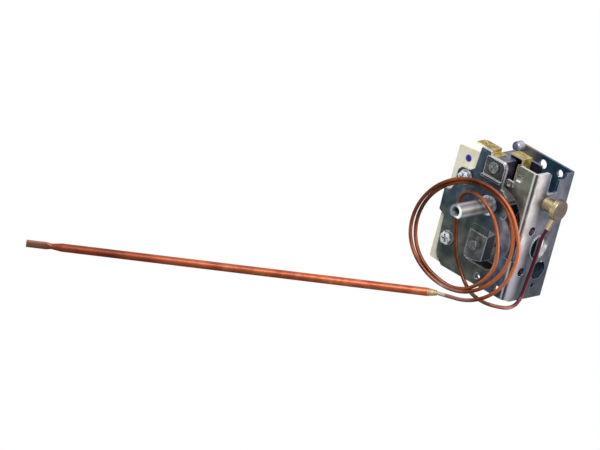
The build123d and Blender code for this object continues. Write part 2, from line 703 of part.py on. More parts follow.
# Range lever with the nose that rides on the cam
range_lever = block(RANGE_X, RANGE_Y, (RANGE_PIN_AT[1], RANGE_TOP))
range_lever += rod_y(KNUCKLE_R, RANGE_Y, RANGE_PIN_AT)
nose_x = CAM_SMALL + REST_GAP + NOSE_HALF
nose_y = (CAM_Y[0] + NOSE_INSET, CAM_Y[1] - NOSE_INSET)
range_lever += rod_y(NOSE_HALF, nose_y, (nose_x, 0))
range_lever += block((nose_x, RANGE_X[1]), nose_y, (-NOSE_HALF, NOSE_HALF))
range_lever -= rod_y(LEVER_PIN_R + RUN_GAP, (0, RANGE_Y[1] + OVER), RANGE_PIN_AT)
export_step(range_lever, "parts/range_lever.step")

# Main lever between the plunger and the push button
main_lever = block(MAIN_X, MAIN_Y, (MAIN_PIN_AT[1], MAIN_TOP))
main_lever += rod_y(KNUCKLE_R, MAIN_Y, MAIN_PIN_AT)
main_lever -= rod_y(LEVER_PIN_R + RUN_GAP, (0, MAIN_Y[1] + OVER), MAIN_PIN_AT)
export_step(main_lever, "parts/main_lever.step")

# Range spring, wound along X with ground ends
spring_x = (RANGE_X[1], MAIN_X[0])
spring_long = spring_x[1] - spring_x[0] - SPRING_WIRE_R
spring_path = Helix(pitch=spring_long / SPRING_TURNS, height=spring_long, radius=SPRING_R)
wire_start = Plane(origin=spring_path @ 0, z_dir=spring_path % 0)
spring = sweep(wire_start * RegularPolygon(SPRING_WIRE_R, WIRE_SIDES), path=spring_path, is_frenet=True)
spring_place = Plane(
    origin=(spring_x[0] + SPRING_WIRE_R / 2, SPRING_Y, SPRING_Z), x_dir=(0, 1, 0), z_dir=(1, 0, 0)
)
spring_y = (SPRING_Y - SPRING_R * 2, SPRING_Y + SPRING_R * 2)
spring_z = (SPRING_Z - SPRING_R * 2, SPRING_Z + SPRING_R * 2)
range_spring = spring_place.location * spring
range_spring &= block(spring_x, spring_y, spring_z)
export_step(range_spring, "parts/range_spring.step")

# Calibration bracket in the window, on a post riveted in the back wall
BRACKET_OUTLINE = [
    (BRACKET_LEFT, BRACKET_TOP[0]),
    (BRACKET_RIGHT, BRACKET_TOP[1]),
    (BRACKET_RIGHT, BRACKET_LOW[1]),
    (BRACKET_LOW_TURN, BRACKET_LOW[0]),
    (BRACKET_LEFT, BRACKET_LOW[0], BRACKET_CORNER),
]
FLANGE_SIDE = [
    (0, BRACKET_TOP[1]),
    (BRACKET_DEPTH, BRACKET_TOP[1] + BRACKET_RISE),
    (BRACKET_DEPTH, BRACKET_LOW[1]),
    (0, BRACKET_LOW[1]),
]
calibration_bracket = along_y(flat(BRACKET_OUTLINE), (0, BRACKET_THICK))
calibration_bracket += along_x(flat(FLANGE_SIDE), (BRACKET_RIGHT - BRACKET_THICK, BRACKET_RIGHT))
calibration_bracket -= rod_y(BRACKET_SCREW_R, (-OVER, BRACKET_THICK + OVER), POST_AT)
export_step(calibration_bracket, "parts/calibration_bracket.step")

bracket_head_y = -BRACKET_SCREW_PROUD - BRACKET_SCREW_HEAD
bracket_screw = rod_y(BRACKET_SCREW_HEAD_R, (bracket_head_y, -BRACKET_SCREW_PROUD), POST_AT)
bracket_screw += rod_y(BRACKET_SCREW_R, (-BRACKET_SCREW_PROUD, BRACKET_SCREW_LENGTH), POST_AT)
bracket_screw -= slot_cut(
    bracket_head_y, SLOT_DEEP, POST_AT, BRACKET_SCREW_HEAD_R * 3, SLOT_WIDE, BRACKET_SLOT_TURN
)
export_step(bracket_screw, "parts/bracket_screw.step")

bracket_post = rod_y(POST_R, (BRACKET_THICK, BACK_IN), POST_AT)
bracket_post += rod_y(POST_RIVET_R, (BACK_IN, DEPTH), POST_AT)
bracket_post += rod_y(POST_HEAD_R, (DEPTH, DEPTH + POST_HEAD), POST_AT)
bracket_post -= rod_y(BRACKET_SCREW_R, (0, BRACKET_SCREW_LENGTH), POST_AT)
export_step(bracket_post, "parts/bracket_post.step")

# Rear stud, domed, on the inside of the back wall
rear_stud = rod_y(STUD_R, (BACK_IN - STUD_LENGTH, BACK_IN), STUD_AT)
rear_stud = fillet(rear_stud.edges().sort_by(Axis.Y)[0], STUD_DOME)
export_step(rear_stud, "parts/rear_stud.step")

# Power element: stem through the web, nut, neck, cup, plunger and ferrule
element_at = (ELEMENT_Y, ELEMENT_Z)
element_neck = rod_x(STEM_R, (STEM_START, WEB_X), element_at)
element_neck += rod_x(COLLAR_R, (WEB_X, COLLAR_END), element_at)
element_neck += rod_x(NECK_R, (COLLAR_END, CUP_X[0]), element_at)
element_neck -= rod_x(STEM_BORE_R, (STEM_START - OVER, PLUNGER_END + BORE_PAST), element_at)
export_step(element_neck, "parts/element_neck.step")

element_cup = rod_x(CUP_R, CUP_X, element_at)
element_cup = fillet(element_cup.edges().filter_by(GeomType.CIRCLE).sort_by(Axis.X)[-1], CUP_EDGE)
element_cup = chamfer(element_cup.edges().filter_by(GeomType.CIRCLE).sort_by(Axis.X)[0], CUP_EDGE)
export_step(element_cup, "parts/element_cup.step")

nut_face = Location(element_at, ELEMENT_NUT_TURN) * RegularPolygon(ELEMENT_NUT_AF / 2, 6, major_radius=False)
element_nut = along_x(nut_face, (ELEMENT_NUT_X, WEB_IN))
element_nut -= rod_x(STEM_R, (ELEMENT_NUT_X - OVER, WEB_IN + OVER), element_at)
export_step(element_nut, "parts/element_nut.step")

plunger = rod_x(PLUNGER_R, (MAIN_X[1] + REST_GAP, PLUNGER_END), element_at)
export_step(plunger, "parts/plunger.step")

lean = math.radians(FERRULE_LEAN)
ferrule_direction = Vector(0, -math.sin(lean), -math.cos(lean))
cup_middle = Vector(FERRULE_X, ELEMENT_Y, ELEMENT_Z)
ferrule_start = cup_middle + ferrule_direction * (CUP_R - FERRULE_LAP)
ferrule_end = cup_middle + ferrule_direction * (CUP_R + FERRULE_REACH)
ferrule_plane = Plane(origin=ferrule_start, z_dir=ferrule_direction)
capillary_ferrule = extrude(ferrule_plane * Circle(FERRULE_R), amount=FERRULE_LAP + FERRULE_REACH)
capillary_ferrule -= element_cup
export_step(capillary_ferrule, "parts/capillary_ferrule.step")

# Coil of the capillary, one closed ring of strands
coil_plane = Plane(origin=COIL_CENTRE, z_dir=COIL_AXIS)
strand_face = RegularPolygon(CAPILLARY_R, WIRE_SIDES, major_radius=False)
coil = [revolve(Plane.XZ * Location((r, k)) * strand_face, Axis.Z) for r, k in COIL_STRANDS]
capillary_coil = coil_plane.location * (coil[0] + coil[1] + coil[2])
export_step(capillary_coil, "parts/capillary_coil.step")


def route(points):
    """Straight runs joined by tangent arcs, with the radius each bend gets."""
    spots = [Vector(*p) for p in points]
    radii = []
    for before, here, after in zip(spots, spots[1:], spots[2:]):
        run_in = here - before
        run_out = after - here
        turn = math.radians(run_in.get_angle(run_out))
        radii.append(0.45 * min(run_in.length, run_out.length) / math.tan(turn / 2))
    print("bend radii", [round(r, 1) for r in radii])
    return FilletPolyline(*spots, radius=radii)


def tube(points):
    path = route(points)
    start = Plane(origin=path @ 0, z_dir=path % 0)
    shape = sweep(start * Circle(CAPILLARY_R), path=path)
    print("tube volume", round(shape.volume, 2), "expected", round(math.pi * CAPILLARY_R**2 * path.length, 2))
    return shape


LEAD_POINTS = [
    tuple(ferrule_end),
    (25.2, 7.0, -3.4),
    (24.3, 8.2, -8.9),
    (23.3, 9.3, -14.9),
    (22.5, 9.8, -21.0),
    (22.0, 9.6, -27.0),
    (22.2, 8.9, -32.6),
    (22.9, 5.6, -35.6),
    (23.3, 0.4, -36.3),
    (21.3, -4.0, -36.0),
    (17.7, -7.0, -35.9),
    (12.7, -6.9, -36.1),
    (8.1, -6.8, -35.4),
    (3.7, -5.8, -33.6),
    (-0.4, -5.6, -30.0),
    (-3.9, -6.0, -25.2),
    (-5.9, -6.8, -19.7),
    (-7.2, -7.9, -12.5),
    (-8.2, -9.0, -4.8),
    (-8.6, -9.3, 1.0),
    (-5.6, -9.7, 4.8),
    (-1.8, -10.0, 6.3),
    (2.4, -10.0, 6.0),
    (6.9, -10.0, 4.1),
    (11.0, -9.8, 1.0),
    (14.1, -9.2, -3.9),
    (16.0, -8.4, -9.7),
    (17.3, -8.3, -15.2),
    (17.4, -9.0, -20.4),
    (15.6, -10.4, -25.4),
    (12.4, -11.6, -29.6),
    (8.6, -12.3, -32.6),
]
capillary_lead = tube(LEAD_POINTS) - capillary_coil - capillary_ferrule
capillary_lead = capillary_lead.solids().sort_by(SortBy.VOLUME)[-1]
export_step(capillary_lead, "parts/capillary_lead.step")

bulb_direction = Vector(*BULB_DIRECTION).normalized()
bulb_start = Vector(*BULB_START)
TAIL_POINTS = [
    (21.2, -2.6, -3.4),
    (23.2, -3.3, -8.6),
    (24.8, -4.6, -14.3),
    (24.7, -7.1, -21.2),
    (22.8, -9.1, -26.8),
    (19.7, -11.0, -31.0),
    (15.6, -12.8, -34.3),
    (10.6, -14.7, -36.4),
    (5.6, -16.2, -37.0),
    tuple(bulb_start),
]
capillary_tail = tube(TAIL_POINTS) - capillary_coil
capillary_tail = capillary_tail.solids().sort_by(SortBy.VOLUME)[-1]
export_step(capillary_tail, "parts/capillary_tail.step")


# Bulb with its soldered neck and pinched, flattened tip
def on_bulb(distance):
    return Plane(origin=bulb_start + bulb_direction * distance, x_dir=TIP_ACROSS, z_dir=bulb_direction)


bulb_neck = loft([on_bulb(0) * Circle(CAPILLARY_R + NECK_WALL), on_bulb(NECK_LENGTH) * Circle(BULB_R)])
bulb_neck -= capillary_tail
export_step(bulb_neck, "parts/bulb_neck.step")

bulb = extrude(on_bulb(NECK_LENGTH) * Circle(BULB_R), amount=BULB_FULL_END - NECK_LENGTH)
bulb += loft([on_bulb(BULB_FULL_END) * Circle(BULB_R), on_bulb(BULB_PINCH) * Circle(BULB_PINCH_R)])
tip = on_bulb(BULB_TIP_START) * Ellipse(TIP_HALF_WIDE, TIP_HALF_THIN)
bulb += loft([on_bulb(BULB_PINCH) * Circle(BULB_PINCH_R), tip])
bulb += extrude(tip, amount=BULB_LENGTH - BULB_TIP_START)
export_step(bulb, "parts/bulb.step")

# Numbers the record uses
print("bulb end", on_bulb(BULB_LENGTH).origin)
print("ferrule end", ferrule_end)
print("plunger arm", ELEMENT_Z - MAIN_PIN_AT[1], "button arm", BUTTON_Z - MAIN_PIN_AT[1])
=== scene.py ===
import math
import bpy
from mathutils import Matrix, Vector


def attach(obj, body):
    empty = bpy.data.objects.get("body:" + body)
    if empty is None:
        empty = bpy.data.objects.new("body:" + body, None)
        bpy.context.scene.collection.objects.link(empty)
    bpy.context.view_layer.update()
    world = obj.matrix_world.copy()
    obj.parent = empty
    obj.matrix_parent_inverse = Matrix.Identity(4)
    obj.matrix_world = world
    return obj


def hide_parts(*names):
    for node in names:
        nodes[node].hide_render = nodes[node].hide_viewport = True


MM = 0.001
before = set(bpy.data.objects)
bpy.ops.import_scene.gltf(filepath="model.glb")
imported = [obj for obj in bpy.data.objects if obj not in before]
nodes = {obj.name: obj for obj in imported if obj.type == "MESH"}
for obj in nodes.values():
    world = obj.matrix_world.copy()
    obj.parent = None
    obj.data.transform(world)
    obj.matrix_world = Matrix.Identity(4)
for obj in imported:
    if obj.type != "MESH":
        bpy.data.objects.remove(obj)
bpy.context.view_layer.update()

# Camera: a long lens, so that lines that are parallel on the object stay parallel. It sees from
# half its distance to twice its distance.
RIGHT = Vector((0.7195, 0.6499, 0.2449)).normalized()
TOWARD = Vector((0.553, -0.749, 0.364)).normalized()
UP = TOWARD.cross(RIGHT).normalized()
VIEW_WIDTH = 246 * MM
CENTRE_RIGHT = -77.9 * MM
CENTRE_UP = -7.7 * MM
LENS = 600
SENSOR = 36
CLIP_NEAR = 0.5
CLIP_FAR = 2

# Room that the metal reflects, dark in front and bright behind and above: (place, colour)
ROOM_BRIGHT_WAY = (0.15, 0.8, 0.55)
ROOM_DARK = (0.2, (0.10, 0.13, 0.14, 1))
ROOM_BRIGHT = (0.85, (0.95, 0.93, 0.92, 1))

# Lights: name, place, target and size in metres, power in watts and colour
LIGHTS = [
    ("key", (0.25, -0.35, 0.55), (-0.02, 0, 0), 0.30, 4.5, (1.0, 0.98, 0.95)),
    ("side", (0.6, 0.25, 0.05), (0.01, 0.01, 0), 0.35, 2.6, (0.98, 0.97, 1.0)),
    ("low", (-0.4, -0.5, -0.1), (-0.02, 0, 0), 0.3, 1.0, (0.95, 1.0, 1.0)),
]

# Capillary, from the ferrule down beside the web and once round inside the coil
CAPILLARY_R = 0.8 * MM
FERRULE_END = (26.25, 7.517, -0.096)
LEAD_POINTS = [
    FERRULE_END,
    (25.2, 7.0, -3.4),
    (24.3, 8.2, -8.9),
    (23.3, 9.3, -14.9),
    (22.5, 9.8, -21.0),
    (22.0, 9.6, -27.0),
    (22.2, 8.9, -32.6),
    (22.9, 5.6, -35.6),
    (23.3, 0.4, -36.3),
    (21.3, -4.0, -36.0),
    (17.7, -7.0, -35.9),
    (12.7, -6.9, -36.1),
    (8.1, -6.8, -35.4),
    (3.7, -5.8, -33.6),
    (-0.4, -5.6, -30.0),
    (-3.9, -6.0, -25.2),
    (-5.9, -6.8, -19.7),
    (-7.2, -7.9, -12.5),
    (-8.2, -9.0, -4.8),
    (-8.6, -9.3, 1.0),
    (-5.6, -9.7, 4.8),
    (-1.8, -10.0, 6.3),
    (2.4, -10.0, 6.0),
    (6.9, -10.0, 4.1),
    (11.0, -9.8, 1.0),
    (14.1, -9.2, -3.9),
    (16.0, -8.4, -9.7),
    (17.3, -8.3, -15.2),
    (17.4, -9.0, -20.4),
    (15.6, -10.4, -25.4),
    (12.4, -11.6, -29.6),
    (8.6, -12.3, -32.6),
]

# Coil: its place, its rise along the axis and the radius of its turns, (degrees, millimetres)
COIL_CENTRE = Vector((0.0, -10.5, -12.7))
COIL_AXIS = Vector((0.301, -0.933, 0.198)).normalized()
COIL_SIDE = Vector((0.8746, 0.3531, 0.3324)).normalized()
COIL_TOP = COIL_AXIS.cross(COIL_SIDE).normalized()
COIL_STEP = -15
COIL_RISE = 1.8
MIDDLE_SHARE = 0.75
COIL_RADII = [
    (-104, 21.8),
    (-120, 21.0),
    (-140, 20.7),
    (-165, 21.0),
    (-180, 21.1),
    (-225, 21.9),
    (-270, 22.4),
    (-315, 22.0),
    (-360, 21.2),
    (-405, 22.0),
    (-450, 22.9),
    (-480, 22.2),
    (-500, 21.9),
    (-525, 22.5),
    (-540, 23.0),
    (-630, 23.7),
    (-708, 23.3),
]

# Capillary, from the coil to the bulb's neck
TAIL_POINTS = [
    (23.2, -3.3, -8.6),
    (24.8, -4.6, -14.3),
    (24.7, -7.1, -21.2),
    (22.8, -9.1, -26.8),
    (19.7, -11.0, -31.0),
    (15.6, -12.8, -34.3),
    (10.6, -14.7, -36.4),
    (5.6, -16.2, -37.0),
    (-0.2, -18.0, -37.7),
]

# How finely the capillary's curve and its round are divided
CURVE_STEPS = 8
ROUND_STEPS = 5

# Blue dot on the insulating sheet, (X, Z)
DOT_AT = (-16.8, 13.4)
DOT_R = 1.55

# Directions in which painted light and shade on rounded metal go from dark to light, as the eye sees
# them across it
ACROSS = (0.72, 0.0, 0.25)
SHAFT_UP = (-0.55, 0.0, 0.835)
NECK_LIGHT = (0.0, -1.0, 0.15)

# Bore in the shaft's end
BORE_R = 1.75

# Lanced curl near the front wall's top right corner, which stands out of the wall and gets a painted
# highlight
CURL_AT = (11.7, -0.4, 16.4)
CURL_R = 1.8

# Centre of the collared hole in the web, whose rear wall gets a painted highlight
COLLAR_AT = (17.6, 14.2, -11.8)
COLLAR_R = 6.4

# Sheet put into the shadowed gap between the window's top and the bracket, where there is only shade:
# corners (X, Y, Z)
SHADE_GAP_STRIP = ((-6.6, 0.06, -13.0), (4.2, 0.9, -9.4))

# End of the capillary that the solder has run over
SOLDERED_END = TAIL_POINTS[-1]
SOLDERED_LONG = 4.2
SOLDER_FADE = 1.0

# How spots, patches and edges fade, how finely edges are sampled, the range of noise that is used
# and how dark the clouds on an end face are
SPOT_BLUR = 0.15
PATCH_FADE = 0.3
SHARP_BEND = (0.99, 0.90)
EDGE_SAMPLES = 6
ROUNDING_SAMPLES = 4
GRAIN = (0.3, 0.7)
FACE_SHADOW = 0.84

# Corners of a box by number, as its six faces
BOX_FACES = [(0, 1, 3, 2), (4, 6, 7, 5), (0, 4, 5, 1), (2, 3, 7, 6), (0, 2, 6, 4), (1, 5, 7, 3)]


# Camera, background and lights
def make_camera():
    data = bpy.data.cameras.new("camera")
    camera = bpy.data.objects.new("camera", data)
    bpy.context.scene.collection.objects.link(camera)
    data.lens = LENS
    data.sensor_width = SENSOR
    far = VIEW_WIDTH / 2 / (SENSOR / 2 / LENS)
    data.clip_start = far * CLIP_NEAR
    data.clip_end = far * CLIP_FAR
    turn = Matrix((RIGHT, UP, TOWARD)).transposed()
    place = RIGHT * CENTRE_RIGHT + UP * CENTRE_UP + TOWARD * far
    camera.matrix_world = Matrix.Translation(place) @ turn.to_4x4()
    bpy.context.scene.camera = camera


def make_world():
    """White to the camera. Everything else sees a dark room in front and a bright one behind."""
    world = bpy.data.worlds.new("world")
    bpy.context.scene.world = world
    world.use_nodes = True
    tree = world.node_tree
    tree.nodes.clear()
    output = tree.nodes.new("ShaderNodeOutputWorld")
    white = tree.nodes.new("ShaderNodeBackground")
    white.inputs["Color"].default_value = (1, 1, 1, 1)
    room = tree.nodes.new("ShaderNodeBackground")
    path = tree.nodes.new("ShaderNodeLightPath")
    mix = tree.nodes.new("ShaderNodeMixShader")
    coord = tree.nodes.new("ShaderNodeTexCoord")
    dot = tree.nodes.new("ShaderNodeVectorMath")
    dot.operation = "DOT_PRODUCT"
    dot.inputs[1].default_value = ROOM_BRIGHT_WAY
    shift = tree.nodes.new("ShaderNodeMapRange")
    shift.inputs["From Min"].default_value = -1
    shift.inputs["From Max"].default_value = 1
    ramp = tree.nodes.new("ShaderNodeValToRGB")
    for element, (place, color) in zip(ramp.color_ramp.elements, (ROOM_DARK, ROOM_BRIGHT)):
        element.position = place
        element.color = color
    tree.links.new(coord.outputs["Generated"], dot.inputs[0])
    tree.links.new(dot.outputs["Value"], shift.inputs["Value"])
    tree.links.new(shift.outputs["Result"], ramp.inputs["Fac"])
    tree.links.new(ramp.outputs["Color"], room.inputs["Color"])
    tree.links.new(path.outputs["Is Camera Ray"], mix.inputs["Fac"])
    tree.links.new(room.outputs["Background"], mix.inputs[1])
    tree.links.new(white.outputs["Background"], mix.inputs[2])
    tree.links.new(mix.outputs["Shader"], output.inputs["Surface"])


def make_light(name, place, target, size, power, color):
    data = bpy.data.lights.new(name, "AREA")
    data.energy = power
    data.size = size
    data.color = color
    light = bpy.data.objects.new(name, data)
    bpy.context.scene.collection.objects.link(light)
    light.location = place
    light.rotation_mode = "QUATERNION"
    light.rotation_quaternion = (Vector(target) - Vector(place)).to_track_quat("-Z", "Y")


# Materials
def shade(red, green, blue):
    """A colour given in display values, as the linear values that the shader takes."""
    values = [c / 255 for c in (red, green, blue)]
    return tuple(c / 12.92 if c <= 0.04045 else ((c + 0.055) / 1.055) ** 2.4 for c in values)


class Finish:
    """A procedural material. Tones are display values from 0 to 255, and places are in millimetres."""

    def __init__(self, name):
        self.material = bpy.data.materials.new(name)
        self.material.use_nodes = True
        self.tree = self.material.node_tree
        self.shader = self.tree.nodes["Principled BSDF"]
        self.coord = self.tree.nodes.new("ShaderNodeTexCoord")

    def set(self, **values):
        for name, value in values.items():
            self.shader.inputs[name].default_value = value
        return self

    def link(self, source, name):
        self.tree.links.new(source, self.shader.inputs[name])

    def noise(self, scale, detail, stretch=(1, 1, 1)):
        mapping = self.tree.nodes.new("ShaderNodeMapping")
        mapping.inputs["Scale"].default_value = stretch
        texture = self.tree.nodes.new("ShaderNodeTexNoise")
        texture.inputs["Scale"].default_value = scale
        texture.inputs["Detail"].default_value = detail
        self.tree.links.new(self.coord.outputs["Object"], mapping.inputs["Vector"])
        self.tree.links.new(mapping.outputs["Vector"], texture.inputs["Vector"])
        return texture.outputs["Fac"]

    def spread(self, value, low, high, to_low=0.0, to_high=1.0):
        node = self.tree.nodes.new("ShaderNodeMapRange")
        node.inputs["From Min"].default_value = low
        node.inputs["From Max"].default_value = high
        node.inputs["To Min"].default_value = to_low
        node.inputs["To Max"].default_value = to_high
        self.tree.links.new(value, node.inputs["Value"])
        return node.outputs["Result"]

    def vector(self, operation, first, second):
        """A vector operation on a socket and another socket or fixed values."""
        node = self.tree.nodes.new("ShaderNodeVectorMath")
        node.operation = operation
        self.tree.links.new(first, node.inputs[0])
        if isinstance(second, bpy.types.NodeSocket):
            self.tree.links.new(second, node.inputs[1])
        else:
            node.inputs[1].default_value = second
        return node

    def both(self, first, second):
        node = self.tree.nodes.new("ShaderNodeMath")
        node.operation = "MULTIPLY"
        self.tree.links.new(first, node.inputs[0])
        self.tree.links.new(second, node.inputs[1])
        return node.outputs["Value"]

    def part(self, source, letter):
        split = self.tree.nodes.new("ShaderNodeSeparateXYZ")
        self.tree.links.new(self.coord.outputs[source], split.inputs["Vector"])
        return split.outputs[letter]

    def along(self, letter, start, end):
        """0 to 1 from one place to another along an axis."""
        return self.spread(self.part("Object", letter), start * MM, end * MM)

    def turned(self, letter, start, end):
        """0 to 1 as the surface turns towards an axis."""
        return self.spread(self.part("Normal", letter), start, end)

    def facing(self, direction):
        """0 to 1 as the surface turns from away from a direction to towards it."""
        dot = self.vector("DOT_PRODUCT", self.coord.outputs["Normal"], Vector(direction).normalized())
        return self.spread(dot.outputs["Value"], -1, 1)

    def within(self, place, reach, fade=PATCH_FADE):
        """1 close to a place, 0 beyond the reach, with a fade inside it."""
        gap = self.vector("DISTANCE", self.coord.outputs["Object"], [c * MM for c in place])
        return self.spread(gap.outputs["Value"], reach * MM, (reach - fade) * MM)

    def spot(self, place, radius):
        """1 within a radius of a place (X, Z), seen along Y."""
        flat = self.vector("MULTIPLY", self.coord.outputs["Object"], (1, 0, 1))
        gap = self.vector("DISTANCE", flat.outputs["Vector"], (place[0] * MM, 0, place[1] * MM))
        outer = radius * (1 + SPOT_BLUR) * MM
        inner = radius * (1 - SPOT_BLUR) * MM
        return self.spread(gap.outputs["Value"], outer, inner)

    def edge(self, radius):
        """1 where a sharp edge is near, 0 on open faces: where the materials put painted edge
        highlights.
        """
        soft = self.tree.nodes.new("ShaderNodeBevel")
        soft.samples = EDGE_SAMPLES
        soft.inputs["Radius"].default_value = radius * MM
        true = self.tree.nodes.new("ShaderNodeNewGeometry")
        dot = self.vector("DOT_PRODUCT", soft.outputs["Normal"], true.outputs["Normal"])
        return self.spread(dot.outputs["Value"], *SHARP_BEND)

    def gradient(self, value, stops):
        node = self.tree.nodes.new("ShaderNodeValToRGB")
        band = node.color_ramp
        while len(band.elements) < len(stops):
            band.elements.new(0.5)
        for element, (place, color) in zip(band.elements, stops):
            element.position = place
            element.color = (*color, 1)
        self.tree.links.new(value, node.inputs["Fac"])
        return node.outputs["Color"]

    def ramp(self, value, stops):
        """Tones along a value from 0 to 1."""
        return self.gradient(value, [(place, shade(*tone)) for place, tone in stops])

    def mask(self, value, stops):
        """Amounts from 0 to 1 along a value from 0 to 1."""
        return self.gradient(value, [(place, (amount, amount, amount)) for place, amount in stops])

    def clouded(self, cloud, dark, light, low=0.35, high=0.65):
        return self.ramp(cloud, [(low, dark), (high, light)])

    def mix(self, amount, first, second):
        """From the first colour to the second, each a socket or a tone, by an amount from 0 to 1."""
        node = self.tree.nodes.new("ShaderNodeMix")
        node.data_type = "RGBA"
        for name, value in (("Factor", amount), ("A", first), ("B", second)):
            socket = [s for s in node.inputs if s.name == name and s.enabled][0]
            if isinstance(value, bpy.types.NodeSocket):
                self.tree.links.new(value, socket)
            else:
                socket.default_value = (*shade(*value), 1)
        return [s for s in node.outputs if s.enabled][0]

    def bump(self, height, depth, strength, rounding):
        node = self.tree.nodes.new("ShaderNodeBump")
        node.inputs["Strength"].default_value = strength
        node.inputs["Distance"].default_value = depth * MM
        self.tree.links.new(height, node.inputs["Height"])
        if rounding:
            edge = self.tree.nodes.new("ShaderNodeBevel")
            edge.samples = ROUNDING_SAMPLES
            edge.inputs["Radius"].default_value = rounding * MM
            self.tree.links.new(edge.outputs["Normal"], node.inputs["Normal"])
        self.link(node.outputs["Normal"], "Normal")

    def dress(self, color, grain, rough=None, depth=0.03, strength=0.3, rounding=0.15):
        """The colour, a roughness that varies with the grain, and the grain's relief."""
        self.link(color, "Base Color")
        if rough:
            self.link(self.spread(grain, *GRAIN, *rough), "Roughness")
        self.bump(grain, depth, strength, rounding)
        return self.material


def front_reflection_and_shade(finish, cloud):
    """Painted reflection and shade on the front wall: slate on the left with lighter ash below it, and
    warm grey on the right with olive above and darker dusk below.
    """
    slate = finish.ramp(cloud, [(0.34, (12, 26, 54)), (0.48, (28, 48, 64)), (0.68, (66, 82, 86))])
    ash = finish.ramp(cloud, [(0.34, (36, 42, 42)), (0.50, (66, 72, 66)), (0.66, (92, 96, 90))])
    warm = finish.ramp(cloud, [(0.35, (96, 84, 92)), (0.52, (132, 120, 128)), (0.68, (166, 156, 164))])
    olive = finish.clouded(cloud, (70, 70, 58), (112, 110, 96))
    dusk = finish.clouded(cloud, (46, 50, 74), (100, 106, 128))
    left_low = finish.along("Z", -6, -14)
    right_high = finish.along("Z", 2, 12)
    right_low = finish.along("Z", -4, -14)
    to_right = finish.along("X", 6, 11)
    left = finish.mix(left_low, slate, ash)
    right = finish.mix(right_low, finish.mix(right_high, warm, olive), dusk)
    return finish.mix(to_right, left, right)


def back_tones(finish, cloud):
    """Teal, and dull brown on the left."""
    teal = finish.clouded(cloud, (14, 42, 78), (58, 88, 108))
    to_left = finish.along("X", 3, -5)
    return finish.mix(to_left, teal, (112, 104, 92))


def web_reflection_and_shade(finish, cloud):
    """Painted reflection and shade on the web: pale beside the front bend, and painted shade that
    darkens it towards the rear and the bottom.
    """
    pale = finish.clouded(cloud, (158, 150, 154), (210, 204, 202))
    grey = finish.clouded(cloud, (60, 62, 76), (104, 104, 116))
    dark = finish.clouded(cloud, (34, 42, 54), (68, 76, 86))
    front_low = finish.along("Z", -6, -20)
    rear_low = finish.along("Z", -12, -24)
    rear_end = finish.along("Y", 20, 25)
    to_rear = finish.along("Y", 3.5, 8.5)
    front = finish.mix(front_low, pale, (160, 156, 168))
    rear = finish.mix(rear_end, finish.mix(rear_low, grey, dark), dark)
    return finish.mix(to_rear, front, rear)


def bend_highlight_and_shade(finish, color):
    """A painted highlight line and a painted dark reflection line along each rounded bend on the
    right.
    """
    bend = finish.turned("X", 0.0, 1.0)
    light = finish.mask(bend, [(0.04, 0), (0.16, 1), (0.40, 1), (0.50, 0)])
    dark = finish.mask(bend, [(0.50, 0), (0.58, 0.8), (0.66, 0.8), (0.76, 0)])
    color = finish.mix(light, color, (226, 226, 224))
    return finish.mix(dark, color, (56, 66, 76))


def sheet_steel():
    """Plated sheet: slate on the front wall and warmer to the right as painted reflection, with
    painted highlights at bends and cut edges.
    """
    finish = Finish("sheet_steel").set(Metallic=0.45)
    cloud = finish.noise(scale=170, detail=5)
    fine = finish.noise(scale=900, detail=3, stretch=(1, 1, 0.25))
    to_back = finish.along("Y", 5, 14)
    # The front wall's tones are painted reflection and shade.
    color = finish.mix(to_back, front_reflection_and_shade(finish, cloud), back_tones(finish, cloud))
    rear_face = finish.turned("Y", 0.5, 0.9)
    rear = finish.clouded(cloud, (96, 104, 114), (150, 154, 162), 0.34, 0.66)
    color = finish.mix(rear_face, color, rear)
    web_face = finish.turned("X", 0.80, 0.98)
    # The web's tones are painted reflection and shade.
    color = finish.mix(web_face, color, web_reflection_and_shade(finish, cloud))
    left_face = finish.turned("X", -0.5, -0.9)
    color = finish.mix(left_face, color, (48, 46, 50))
    # Painted light on the top faces of the front wall's upper part.
    upward = finish.turned("Z", 0.5, 0.9)
    lit_front_top = finish.both(finish.along("Z", 3, 6), finish.along("Y", 16, 10))
    color = finish.mix(finish.both(upward, lit_front_top), color, (190, 188, 190))
    # Painted shade on upward faces below Z 1, inside the frame.
    shaded_inner_floor = finish.along("Z", 3, 1)
    color = finish.mix(finish.both(upward, shaded_inner_floor), color, (30, 34, 52))
    # Painted highlight and dark reflection lines along the bends.
    color = bend_highlight_and_shade(finish, color)
    # Painted highlights on cut edges, fading towards the rear.
    highlight_weaker_at_rear = finish.spread(finish.along("Y", 10, 16), 0, 1, 1, 0.35)
    color = finish.mix(finish.both(finish.edge(0.26), highlight_weaker_at_rear), color, (214, 214, 218))
    # Painted highlight on the collared hole's rear wall, which faces the front.
    collar_highlight = finish.both(finish.within(COLLAR_AT, COLLAR_R), finish.turned("Y", -0.2, -0.6))
    color = finish.mix(collar_highlight, color, (244, 242, 246))
    # Painted highlight on the raised curl.
    curl_highlight = finish.both(finish.within(CURL_AT, CURL_R), finish.along("Y", 0.0, -0.3))
    color = finish.mix(curl_highlight, color, (240, 238, 242))
    return finish.dress(color, fine, rough=(0.34, 0.50), rounding=0.2)


